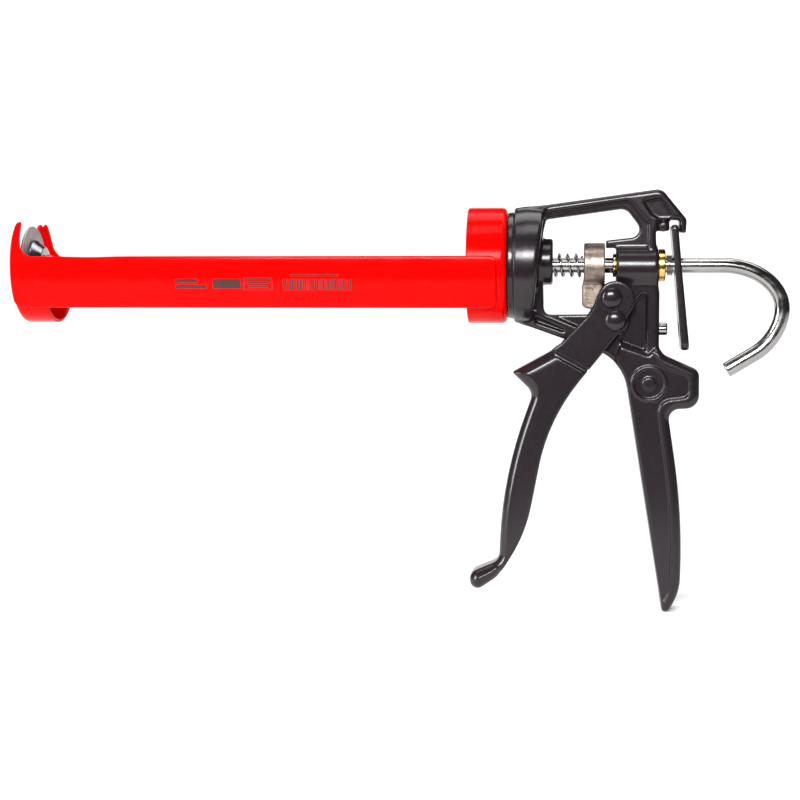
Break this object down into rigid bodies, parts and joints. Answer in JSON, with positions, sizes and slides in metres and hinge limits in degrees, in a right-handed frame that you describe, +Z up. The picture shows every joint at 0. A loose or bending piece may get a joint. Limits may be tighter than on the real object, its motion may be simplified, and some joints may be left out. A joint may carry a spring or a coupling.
{
  "type": "caulking gun",
  "caption": "Cartridge caulking gun: swivelling half-open cradle, ribbed die-cast body with grip, lever trigger, sprung driver, push rod with pull hook and tilting release lever.",
  "frame": {"origin": "middle of the hand's hold on the grip, on the gun's plane of symmetry", "axes": "+X along the push rod from the nozzle end to the hook, +Y across the gun, +Z up, from the grip towards the rod"},
  "size_m": [0.3588, 0.0572, 0.1942],
  "materials": {
    "red_enamel": "glossy red enamel on steel sheet",
    "black_coat": "satin warm black powder coat on castings",
    "zinc_plate": "bright zinc plate",
    "spring_steel": "drawn spring steel",
    "burnished_steel": "burnished sintered steel",
    "brass": "turned brass",
    "stamped_steel": "dull zinc on stamped steel"
  },
  "bodies": {
    "frame": {"frame_casting": "black_coat", "front_bush": "brass", "rear_bush": "brass", "stop_stud": "zinc_plate", "swivel_washer": "spring_steel", "retaining_ring": "spring_steel", "main_spring": "spring_steel", "lever_spring": "spring_steel"},
    "cradle": {"rear_cup": "red_enamel", "front_cup": "red_enamel", "left_rail": "red_enamel", "right_rail": "red_enamel"},
    "trigger": {"trigger_handle": "black_coat", "pivot_pin": "black_coat", "drive_pin": "black_coat", "drive_roller": "spring_steel"},
    "driver": {"driver_block": "burnished_steel"},
    "pusher": {"pusher_plate": "stamped_steel", "pusher_hub": "stamped_steel"},
    "rod": {"hook_rod": "zinc_plate", "rod_nut": "spring_steel", "rod_collar": "spring_steel"},
    "lever": {"release_lever": "black_coat"}
  },
  "joints": [
    {"name": "cradle_swivel", "type": "hinge", "parent": "frame", "child": "cradle", "pos_m": [-0.069, 0, 0.105], "axis": [1, 0, 0], "continuous": true},
    {"name": "trigger_pivot", "type": "hinge", "parent": "frame", "child": "trigger", "pos_m": [-0.0199, 0, 0.08], "axis": [0, -1, 0], "range_deg": [0, 28], "stiffness_Nm_per_rad": 2, "springref_deg": -20.05},
    {"name": "driver_slide", "type": "slide", "parent": "frame", "child": "driver", "axis": [-1, 0, 0], "range_m": [0, 0.0048], "deforming": ["main_spring"]},
    {"name": "rod_slide", "type": "slide", "parent": "frame", "child": "pusher", "axis": [1, 0, 0], "range_m": [0, 0.206]},
    {"name": "rod_turn", "type": "hinge", "parent": "pusher", "child": "rod", "pos_m": [-0.069, 0, 0.105], "axis": [1, 0, 0], "continuous": true},
    {"name": "release_tilt", "type": "hinge", "parent": "frame", "child": "lever", "pos_m": [0.0069, 0, 0.1223], "axis": [0, 1, 0], "range_deg": [0, 6], "stiffness_Nm_per_rad": 1, "springref_deg": -17.19, "deforming": ["lever_spring"]}
  ],
  "couplings": [
    {"joint": "driver_slide", "follows": "trigger_pivot", "m_per_rad": 0.009524}
  ]
}
